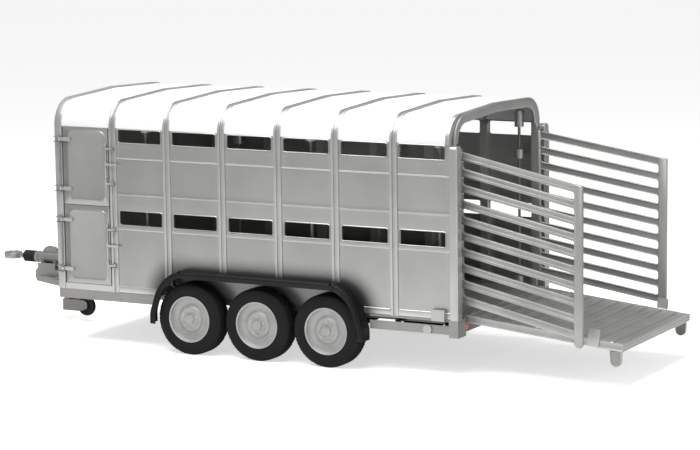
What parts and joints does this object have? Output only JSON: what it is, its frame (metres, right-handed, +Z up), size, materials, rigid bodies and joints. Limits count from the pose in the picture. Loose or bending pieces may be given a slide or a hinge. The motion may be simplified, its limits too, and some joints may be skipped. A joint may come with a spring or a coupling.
{
  "type": "livestock trailer",
  "caption": "Enclosed farm animal trailer with ventilated ribbed walls, rear loading ramp and side gates, split side door and braked drawbar.",
  "frame": {"origin": "on the ground, midway between the ramp's end and the towing eye's tip and midway between the mudguards, under the middle axle", "axes": "+X forward towards the towing eye, +Y to the trailer's left side, +Z up"},
  "size_m": [7.2552, 2.3, 2.4391],
  "materials": {
    "galvanised_steel": "dull galvanised",
    "forged_steel": "forged, bare",
    "painted_steel": "satin",
    "black_rubber": "matt",
    "floor_board": "coated board",
    "frame_aluminium": "satin",
    "panel_aluminium": "satin",
    "roof_sheet": "smooth pale satin",
    "gloss_black": "gloss",
    "red_lens": "moulded prism",
    "brown_rod": "satin",
    "gate_aluminium": "satin",
    "tyre": "matt",
    "rim_steel": "silver satin"
  },
  "bodies": {
    "trailer": {"axle_units": "galvanised_steel", "bellows": "black_rubber", "chassis_rails": "galvanised_steel", "coupling_tube": "galvanised_steel", "cross_members": "galvanised_steel", "deck_rods": "brown_rod", "door_hinge_rods": "galvanised_steel", "door_surround": "frame_aluminium", "drawbar_frame": "galvanised_steel", "floor": "floor_board", "front_portal": "frame_aluminium", "front_wall": "panel_aluminium", "gate_hinge_lugs": "galvanised_steel", "handbrake_quadrant": "galvanised_steel", "hoops": "frame_aluminium", "jockey_tube": "galvanised_steel", "mudguard_left": "gloss_black", "mudguard_right": "gloss_black", "ramp_hinge_lugs": "galvanised_steel", "rear_bumper": "galvanised_steel", "rear_portal": "frame_aluminium", "reflectors": "red_lens", "rod_sockets": "frame_aluminium", "roof_skin": "roof_sheet", "side_fittings": "panel_aluminium", "slot_frames": "frame_aluminium", "wall_panels_left": "panel_aluminium", "wall_panels_right": "panel_aluminium", "wall_trim": "frame_aluminium", "wheel_boxes": "frame_aluminium"},
    "drawshaft": {"towing_eye": "forged_steel"},
    "brake_lever": {"handbrake_lever": "painted_steel"},
    "jockey_leg": {"jockey_leg": "galvanised_steel"},
    "jockey_crank": {"jockey_crank": "galvanised_steel"},
    "castor": {"castor_fork": "galvanised_steel"},
    "castor_wheel": {"castor_wheel": "black_rubber"},
    "ramp": {"ramp_deck": "gate_aluminium", "ramp_beams": "gate_aluminium", "ramp_edges": "gate_aluminium", "ramp_battens": "gate_aluminium", "ramp_feet": "gate_aluminium", "ramp_catches": "gate_aluminium"},
    "gate_left": {"gate_left": "gate_aluminium"},
    "gate_right": {"gate_right": "gate_aluminium"},
    "door_upper": {"door_leaf_upper": "panel_aluminium"},
    "door_lower": {"door_leaf_lower": "panel_aluminium"},
    "lock_upper": {"door_lock_bar_upper": "galvanised_steel"},
    "lock_lower": {"door_lock_bar_lower": "galvanised_steel"},
    "wheel_left_front": {"tyre_left_front": "tyre", "rim_left_front": "rim_steel"},
    "wheel_left_middle": {"tyre_left_middle": "tyre", "rim_left_middle": "rim_steel"},
    "wheel_left_rear": {"tyre_left_rear": "tyre", "rim_left_rear": "rim_steel"},
    "wheel_right_front": {"tyre_right_front": "tyre", "rim_right_front": "rim_steel"},
    "wheel_right_middle": {"tyre_right_middle": "tyre", "rim_right_middle": "rim_steel"},
    "wheel_right_rear": {"tyre_right_rear": "tyre", "rim_right_rear": "rim_steel"}
  },
  "joints": [
    {"name": "wheel_left_front_spin", "type": "hinge", "parent": "trailer", "child": "wheel_left_front", "pos_m": [0.744, 1, 0.35], "axis": [0, 1, 0], "continuous": true},
    {"name": "wheel_left_middle_spin", "type": "hinge", "parent": "trailer", "child": "wheel_left_middle", "pos_m": [0, 1, 0.35], "axis": [0, 1, 0], "continuous": true},
    {"name": "wheel_left_rear_spin", "type": "hinge", "parent": "trailer", "child": "wheel_left_rear", "pos_m": [-0.744, 1, 0.35], "axis": [0, 1, 0], "continuous": true},
    {"name": "wheel_right_front_spin", "type": "hinge", "parent": "trailer", "child": "wheel_right_front", "pos_m": [0.744, -1, 0.35], "axis": [0, 1, 0], "continuous": true},
    {"name": "wheel_right_middle_spin", "type": "hinge", "parent": "trailer", "child": "wheel_right_middle", "pos_m": [0, -1, 0.35], "axis": [0, 1, 0], "continuous": true},
    {"name": "wheel_right_rear_spin", "type": "hinge", "parent": "trailer", "child": "wheel_right_rear", "pos_m": [-0.744, -1, 0.35], "axis": [0, 1, 0], "continuous": true},
    {"name": "overrun_slide", "type": "slide", "parent": "trailer", "child": "drawshaft", "axis": [1, 0, 0], "range_m": [-0.085, 0], "stiffness_N_per_m": 4000, "deforming": ["bellows"]},
    {"name": "brake_lever_hinge", "type": "hinge", "parent": "trailer", "child": "brake_lever", "pos_m": [3.05, -0.063, 0.722], "axis": [0, 1, 0], "range_deg": [0, 85]},
    {"name": "jockey_crank_turn", "type": "hinge", "parent": "trailer", "child": "jockey_crank", "pos_m": [2.862, 0, 0.86], "axis": [0, 0, 1], "range_deg": [-1980, 2160]},
    {"name": "jockey_leg_slide", "type": "slide", "parent": "trailer", "child": "jockey_leg", "axis": [0, 0, 1], "range_m": [-0.055, 0.06]},
    {"name": "castor_swivel", "type": "hinge", "parent": "jockey_leg", "child": "castor", "pos_m": [2.862, 0, 0.2], "axis": [0, 0, 1], "continuous": true},
    {"name": "castor_wheel_spin", "type": "hinge", "parent": "castor", "child": "castor_wheel", "pos_m": [2.64, 0, 0.16], "axis": [0, 1, 0], "continuous": true},
    {"name": "ramp_hinge", "type": "hinge", "parent": "trailer", "child": "ramp", "pos_m": [-2.05, 0, 0.545], "axis": [0, 1, 0], "range_deg": [0, 95.7]},
    {"name": "gate_left_hinge", "type": "hinge", "parent": "trailer", "child": "gate_left", "pos_m": [-2.048, 0.874, 1.38], "axis": [0, 0, -1], "range_deg": [0, 36]},
    {"name": "gate_right_hinge", "type": "hinge", "parent": "trailer", "child": "gate_right", "pos_m": [-2.048, -0.874, 1.38], "axis": [0, 0, 1], "range_deg": [0, 36]},
    {"name": "door_upper_hinge", "type": "hinge", "parent": "trailer", "child": "door_upper", "pos_m": [2.222, 1.034, 1.777], "axis": [0, 0, -1], "range_deg": [0, 110]},
    {"name": "door_lower_hinge", "type": "hinge", "parent": "trailer", "child": "door_lower", "pos_m": [2.222, 1.034, 0.983], "axis": [0, 0, -1], "range_deg": [0, 110]},
    {"name": "lock_upper_turn", "type": "hinge", "parent": "door_upper", "child": "lock_upper", "pos_m": [1.697, 1.022, 1.777], "axis": [0, 0, -1], "range_deg": [0, 90]},
    {"name": "lock_lower_turn", "type": "hinge", "parent": "door_lower", "child": "lock_lower", "pos_m": [1.697, 1.022, 0.977], "axis": [0, 0, -1], "range_deg": [0, 90]}
  ],
  "couplings": [
    {"joint": "jockey_crank_turn", "follows": "jockey_leg_slide", "rad_per_m": 628.32}
  ]
}
